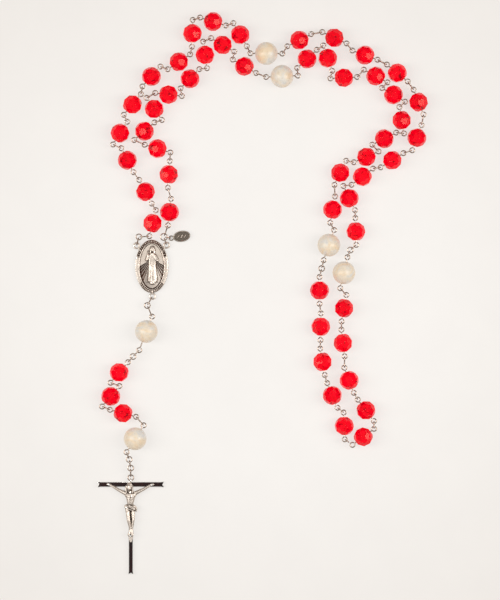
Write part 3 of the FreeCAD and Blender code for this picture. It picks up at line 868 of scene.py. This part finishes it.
def medal_stain_and_painted_shade(u, v):
    """Where the medal is darkened, as 1: old black in the bands, the rays and every hollow, and painted
    shade in a crescent inside the lower rim and over the field's lower left.
    """
    ridge = oval_distance(u, v, MEDAL_FIELD)
    bare = blend(figure_height(u, v), 0.2, 0.05)
    band = in_band(u, v) * (1 - 0.9 * studs(u, v)) * (0.55 + 0.45 * blend(v, -6.0, 0.0))
    fans = rays(u, v) * blend(ridge, 0.1, -0.1) * bare
    # Painted shade: a dark crescent inside the rim, on its lower half only.
    rim = 0.95 * np.exp(-(((ridge + 0.18) / 0.24) ** 2)) * blend(v, 2.0, -4.0)
    # Painted shade: the field darkened towards its lower left.
    ground = 0.3 * blend(ridge, 0.1, -0.1) * blend(v, 1.0, -4.0) * blend(u, 3.0, -3.0)
    shade = hollows(medal_height, u, v, 0.16, 0.22)
    return np.clip(shade + 0.85 * band + 0.9 * fans + rim + ground, 0, 1)


# The tag's leaves, from its middle: start and end
TAG_LEAVES = [((-1.9, -0.35), (-1.1, 0.55)), ((-0.4, -0.65), (0.4, 0.65)), ((1.1, -0.55), (1.9, 0.35))]


def tag_height(u, v):
    """The tag's upper side: a narrow rim and three leaves in the sunk field."""
    edge = oval_distance(u, v, TAG_HALVES)
    height = TAG_THICK - TAG_SINK * blend(edge, -0.42, -0.58)
    for start, end in TAG_LEAVES:
        height += dome(limb_distance(u, v, start, end, 0.30, 0.30), 0.3, 0.22)
    rounding = 0.2 * blend(edge, -0.14, 0.0)
    return height - rounding


def tag_stain(u, v):
    """Dark all over the field, and paler on what is raised."""
    raised = blend(tag_height(u, v), TAG_THICK - TAG_SINK, TAG_THICK - 0.05)
    return np.clip(0.45 - 0.5 * raised + hollows(tag_height, u, v, 0.14, 0.3), 0, 1)


def hollows(height, u, v, reach, deep):
    """How hollow a relief is at each point, from 0 to 1, against what lies around it."""
    around = np.zeros_like(u)
    for k in range(HOLLOW_SAMPLES):
        angle = 2 * math.pi * k / HOLLOW_SAMPLES
        size = reach * (1 + k % 2)
        around += height(u + size * math.cos(angle), v + size * math.sin(angle)) / HOLLOW_SAMPLES
    return np.clip((around - height(u, v)) / deep, 0, 1)


def relief_plate(mesh, halves, height, stain, rings, spokes):
    """An oval plate with a relief on its upper side; its flat back lies at height 0."""
    layer = mesh.verts.layers.float["stain_and_painted_shade"]
    levels = [(n / rings) ** PLATE_CROWDING for n in range(1, rings + 1)]
    angles = [2 * math.pi * k / spokes for k in range(spokes)]
    u = np.array([0.0] + [halves[0] * s * math.cos(a) for s in levels for a in angles])
    v = np.array([0.0] + [halves[1] * s * math.sin(a) for s in levels for a in angles])
    verts = [mesh.verts.new(point) for point in zip(u, v, height(u, v))]
    # Each point's darkening from the stain function; on the medal it includes painted shade.
    for vertex, shade in zip(verts, stain(u, v)):
        vertex[layer] = shade
    rows = [verts[1 + n * spokes:1 + (n + 1) * spokes] for n in range(rings)]
    for k in range(spokes):
        mesh.faces.new((verts[0], rows[0][k - 1], rows[0][k]))
    for size, level in ((1.0, PLATE_BACK_EDGE), (PLATE_BACK_SIZE, 0.0)):
        row = []
        for angle in angles:
            x, y = halves[0] * size * math.cos(angle), halves[1] * size * math.sin(angle)
            row.append(mesh.verts.new((x, y, level)))
        rows.append(row)
    for inner, outer in zip(rows, rows[1:]):
        for k in range(spokes):
            mesh.faces.new((inner[k - 1], outer[k - 1], outer[k], inner[k]))
    mesh.faces.new(list(reversed(rows[-1])))
    bmesh.ops.recalc_face_normals(mesh, faces=mesh.faces)


def torus(mesh, centre, radius, wire):
    """A lug's ring of round wire, lying flat."""
    rings = []
    for k in range(RING_STEPS):
        turn = 2 * math.pi * k / RING_STEPS
        way = Vector((math.cos(turn), math.sin(turn), 0))
        ring = []
        for n in range(RING_SIDES):
            angle = 2 * math.pi * n / RING_SIDES
            point = centre + way * (radius + wire * math.cos(angle)) + UP * wire * math.sin(angle)
            ring.append(mesh.verts.new(point))
        rings.append(ring)
    for k in range(RING_STEPS):
        for n in range(RING_SIDES):
            mesh.faces.new((rings[k - 1][n - 1], rings[k][n - 1], rings[k][n], rings[k - 1][n]))


def solid_limb(mesh, start, end, start_size, end_size):
    """A closed limb in the round, tapering from one round end to the other."""
    start, end = Vector(start), Vector(end)
    length = (end - start).length
    way = (end - start).normalized()
    quarter = [math.pi / 2 * k / LIMB_END_STEPS for k in range(LIMB_END_STEPS + 1)]
    profile = [(-start_size * math.cos(a), start_size * math.sin(a)) for a in quarter[1:]]
    profile += [(length + end_size * math.sin(a), end_size * math.cos(a)) for a in quarter[:-1]]
    rings = lathe(mesh, profile, start, way, LIMB_SIDES)
    for ring, tip in ((rings[0], start - way * start_size), (rings[-1], end + way * end_size)):
        point = mesh.verts.new(tip)
        for k in range(LIMB_SIDES):
            mesh.faces.new((ring[k - 1], ring[k], point))


def centrepiece():
    """The medal, with its three lugs."""
    mesh = bmesh.new()
    mesh.verts.layers.float.new("stain_and_painted_shade")
    relief_plate(mesh, MEDAL_HALVES, medal_height, medal_stain_and_painted_shade, MEDAL_RINGS, MEDAL_SPOKES)
    bmesh.ops.translate(mesh, verts=mesh.verts, vec=MEDAL_AT)
    for x, y in MEDAL_LUGS:
        centre = Vector((x, y, LUG_LEVEL))
        way = (MEDAL_AT - centre) * Vector((1, 1, 0))
        way.normalize()
        torus(mesh, centre, LUG_RADIUS, LUG_WIRE)
        start = centre + way * LUG_RADIUS
        solid_limb(mesh, start, start + way * LUG_NECK, LUG_WIRE, LUG_WIRE)
    bmesh.ops.recalc_face_normals(mesh, faces=mesh.faces)
    piece("centrepiece_relief", mesh, "centrepiece", "antique_silver")


def tag():
    """The oval tag, with its lug."""
    mesh = bmesh.new()
    mesh.verts.layers.float.new("stain_and_painted_shade")
    relief_plate(mesh, TAG_HALVES, tag_height, tag_stain, TAG_RINGS, TAG_SPOKES)
    bmesh.ops.translate(mesh, verts=mesh.verts, vec=(TAG_REACH, 0, TAG_BACK - TAG_LUG.z))
    torus(mesh, Vector((0, 0, 0)), TAG_LUG_RADIUS, TAG_LUG_WIRE)
    mesh.transform(Matrix.Translation(TAG_LUG) @ Matrix.Rotation(TAG_TURN, 4, "Z"))
    bmesh.ops.recalc_face_normals(mesh, faces=mesh.faces)
    piece("tag_relief", mesh, "tag", "pewter")


# The crucifix

def softened(node, finish):
    """A node's own shape with its edges rounded."""
    mesh = flats_joined(node)
    bevel(mesh, SHARP_CORNER, CROSS_BEVEL, steps=3)
    bmesh.ops.triangulate(mesh, faces=[f for f in mesh.faces if len(f.verts) > 4])
    shade_by_area(piece(f"{node}_worn", mesh, node, finish))


# The figure's limbs in the round, from the crossbar's middle and the figure's middle plane:
# start, end and the sizes there
BODY = [
    ((-9.95, 0.10, 0.00), (-9.20, -0.05, 0.05), 0.42, 0.48),
    ((-9.20, -0.05, 0.05), (-8.20, -0.65, 0.10), 0.44, 0.50),
    ((-8.20, -0.65, 0.10), (-5.10, -2.50, 0.10), 0.52, 0.70),
    ((-5.10, -2.50, 0.10), (-2.50, -3.75, 0.20), 0.68, 0.94),
    ((9.65, 0.00, 0.00), (8.95, -0.10, 0.05), 0.42, 0.48),
    ((8.95, -0.10, 0.05), (8.00, -0.65, 0.10), 0.44, 0.50),
    ((8.00, -0.65, 0.10), (5.30, -2.20, 0.10), 0.52, 0.70),
    ((5.30, -2.20, 0.10), (2.10, -3.75, 0.20), 0.68, 0.94),
    ((-0.45, -2.40, 0.35), (-0.15, -3.90, 0.30), 0.70, 0.90),
    ((-1.50, -4.60, 0.25), (1.25, -4.60, 0.25), 1.20, 1.20),
    ((-0.85, -5.20, 0.20), (-0.50, -8.20, 0.15), 1.35, 1.02),
    ((0.65, -5.20, 0.20), (0.25, -8.20, 0.15), 1.35, 1.02),
    ((-1.40, -9.80, 0.15), (1.10, -9.90, 0.15), 1.20, 1.15),
    ((-1.40, -10.60, 0.20), (-0.90, -15.70, 0.60), 1.10, 0.80),
    ((-0.90, -15.70, 0.60), (-0.10, -19.80, 0.30), 0.80, 0.50),
    ((-0.10, -19.80, 0.30), (-0.85, -22.00, 0.65), 0.52, 0.60),
    ((0.95, -10.60, 0.20), (1.15, -15.40, 0.60), 1.05, 0.64),
    ((1.15, -15.40, 0.60), (0.60, -19.80, 0.30), 0.64, 0.46),
    ((0.60, -19.80, 0.30), (0.75, -22.00, 0.65), 0.50, 0.58),
]
HEAD = [
    ((-0.60, -0.85, 0.80), (-0.70, -1.75, 0.90), 1.05, 0.92),
    ((-0.75, -2.20, 0.80), (-0.95, -3.20, 0.70), 0.68, 0.36),
]
LOCKS = [
    ((-0.55, -0.45, 0.30), (-0.55, -0.25, 0.30), 1.28, 1.22),
    ((-1.45, -0.90, 0.40), (-2.00, -2.90, 0.30), 0.92, 0.66),
    ((-2.00, -2.90, 0.30), (-1.60, -4.80, 0.60), 0.66, 0.36),
    ((0.30, -0.80, 0.40), (0.75, -2.60, 0.35), 0.80, 0.55),
    ((0.75, -2.60, 0.35), (0.65, -4.40, 0.65), 0.55, 0.32),
]
CLOTH = [
    ((-1.75, -9.60, 0.25), (1.35, -10.40, 0.30), 1.05, 1.10),
    ((-1.45, -10.70, 0.25), (0.90, -10.90, 0.30), 0.95, 1.00),
    ((1.90, -9.90, 0.45), (2.35, -10.50, 0.40), 0.62, 0.55),
    ((2.35, -10.50, 0.35), (2.45, -11.60, 0.15), 0.50, 0.34),
]
HANDS = [(-1, -10.15, 0.10), (1, 9.85, 0.00)]                # side, and where the fingers start
TRUNK_MARKS = [                # breastbone and navel: place, half width and height, and rise
    ((-0.1, -5.3), 0.10, 0.9, -0.10),
    ((-0.15, -8.2), 0.12, 0.16, -0.10),
]
FACE_MARKS = [                 # nose, brow, eyes and mouth, the same
    ((-0.68, -1.75), 0.13, 0.34, 0.20),
    ((-0.62, -1.25), 0.55, 0.10, 0.08),
    ((-1.02, -1.50), 0.20, 0.11, -0.13),
    ((-0.30, -1.50), 0.20, 0.11, -0.13),
    ((-0.78, -2.33), 0.24, 0.06, -0.10),
]
RIB_MARKS = [
    ((side * 0.95 - 0.1, -5.9 - 0.5 * row), 0.65, 0.12, -0.06)
    for row in range(4) for side in (-1, 1)
]
FACE_AREA = [((-0.70, -1.75), 0.80, 1.25, 1.6)]              # where no hair is carved


def fingers():
    """Four short curled fingers and a thumb on each hand."""
    out = []
    for side, x, y in HANDS:
        for k in range(4):
            across = -0.24 + 0.16 * k
            out.append(((x, y + across, 0.1), (x + side * 0.42, y + across * 0.8 + 0.05, 0.3), 0.13, 0.10))
        out.append(((x - side * 0.35, y + 0.30, 0.1), (x + side * 0.10, y + 0.48, 0.25), 0.14, 0.10))
    return out


def foot_rest(mesh):
    """A small tapering block under the feet."""
    outline = [(-1.25, -22.3), (1.25, -22.3), (0.95, -23.6), (0.45, -25.35), (-0.45, -25.35), (-0.95, -23.6)]
    low = [mesh.verts.new((x, y, -1.0)) for x, y in outline]
    high = [mesh.verts.new((x * 0.88, y, 0.30)) for x, y in outline]
    mesh.faces.new(low)
    mesh.faces.new(list(reversed(high)))
    for k in range(len(outline)):
        mesh.faces.new((low[k], low[k - 1], high[k - 1], high[k]))


def fused(mesh, size):
    """Joins overlapping closed shapes into one smoothed skin, as a new mesh."""
    data = bpy.data.meshes.new("rough")
    mesh.to_mesh(data)
    mesh.free()
    rough = bpy.data.objects.new("rough", data)
    bpy.context.scene.collection.objects.link(rough)
    remesh = rough.modifiers.new("remesh", "REMESH")
    remesh.mode = "VOXEL"
    remesh.voxel_size = size
    smooth = rough.modifiers.new("smooth", "SMOOTH")
    smooth.factor = 0.5
    smooth.iterations = 4
    whole = rough.evaluated_get(bpy.context.evaluated_depsgraph_get()).data
    skin = bmesh.new()
    skin.from_mesh(whole)
    bpy.data.objects.remove(rough)
    bpy.data.meshes.remove(data)
    return skin


def near(points, limbs, soft):
    """How far each point belongs to some limbs, from 0 to 1, seen from above."""
    x, y = points[:, 0], points[:, 1]
    gap = np.min([limb_distance(x, y, a[:2], b[:2], r, s) for a, b, r, s in limbs], axis=0)
    return blend(gap, soft, -soft / 2)


def ridges(points, turn, pitch):
    """Waves that run on in a direction, from -1 to 1, with that many millimetres to a wave."""
    angle = math.radians(turn)
    along = points[:, 0] * math.cos(angle) + points[:, 1] * math.sin(angle)
    bend = 0.5 * np.sin(1.3 * points[:, 1] + 0.8 * points[:, 0])
    return np.cos(2 * math.pi * along / pitch + bend)


def figure_detail(points, normals):
    """How far each point of the figure is carved out or in: cloth, hair, ribs and a plain face."""
    x, y = points[:, 0], points[:, 1]
    up = np.clip(normals[:, 2], 0, 1)
    bare = 1 - np.clip(marks(x, y, FACE_AREA), 0, 1)
    folds = 0.07 * near(points, CLOTH, 0.1) * ridges(points, 66, 0.85)
    strands = 0.09 * near(points, LOCKS, 0.1) * ridges(points, 15, 0.45) * bare
    return folds + strands + marks(x, y, RIB_MARKS + TRUNK_MARKS + FACE_MARKS) * up


def averaged(values, ends):
    """The mean of each point's neighbours, along edges given by the points at their ends."""
    total = np.zeros_like(values)
    np.add.at(total, ends[:, 0], values[ends[:, 1]])
    np.add.at(total, ends[:, 1], values[ends[:, 0]])
    return total / np.bincount(ends.ravel(), minlength=len(values))[:, None]


def skin_shape(mesh):
    """Carves the figure's details, flattens its back and marks its hollows."""
    mesh.verts.ensure_lookup_table()
    mesh.normal_update()
    points = np.array([v.co for v in mesh.verts])
    normals = np.array([v.normal for v in mesh.verts])
    points += normals * figure_detail(points, normals)[:, None]
    points[:, 2] += CORPUS_LEVEL
    level = CORPUS_BACK + CORPUS_BACK_SOFT
    low = points[:, 2] < level
    pressed = CORPUS_BACK_SOFT * np.exp((points[low, 2] - level) / CORPUS_BACK_SOFT)
    points[low, 2] = CORPUS_BACK + pressed
    for vertex, point in zip(mesh.verts, points):
        vertex.co = point
    mesh.normal_update()
    normals = np.array([v.normal for v in mesh.verts])
    ends = np.array([[v.index for v in e.verts] for e in mesh.edges])
    far = points
    for _ in range(HOLLOW_ROUNDS):
        far = averaged(far, ends)
    hollow = ((far - points) * normals).sum(axis=1)[:, None]
    for _ in range(2):
        hollow = averaged(hollow, ends)
    stain = np.clip(CORPUS_STAIN + hollow[:, 0] / CORPUS_STAIN_DEPTH, 0, 1)
    layer = mesh.verts.layers.float.new("stain_and_painted_shade")
    for vertex, value in zip(mesh.verts, stain):
        vertex[layer] = value


def corpus():
    """The cast figure: limbs, head, hair, loincloth and foot rest joined into one skin."""
    mesh = bmesh.new()
    for start, end, start_size, end_size in BODY + HEAD + LOCKS + CLOTH + fingers():
        solid_limb(mesh, start, end, start_size, end_size)
    foot_rest(mesh)
    bmesh.ops.recalc_face_normals(mesh, faces=mesh.faces)
    skin = fused(mesh, VOXEL)
    skin_shape(skin)
    bmesh.ops.translate(skin, verts=skin.verts, vec=CROSS_AT)
    piece("corpus_cast", skin, "corpus", "cast_silver")


bpy.context.scene.view_settings.view_transform = "Standard"
make_camera()
make_tent()
make_lamp("lamp_left", -1)
make_lamp("lamp_right", 1)
make_floor()

for node in frame["nodes"]:
    if node.endswith(("_beads", "_bead")) and "pater" not in node:
        cut_beads(node)
    elif node.endswith("_bead"):
        pearl_bead(node)
    elif node.endswith(("_wires", "_pin")) or "_link_" in node or "_ring" in node:
        bent_wires(node)

centrepiece()
tag()
softened("cross_frame", "bright_metal")
softened("cross_inlay", "black_inlay")
softened("corpus_nails", "bright_metal")
corpus()
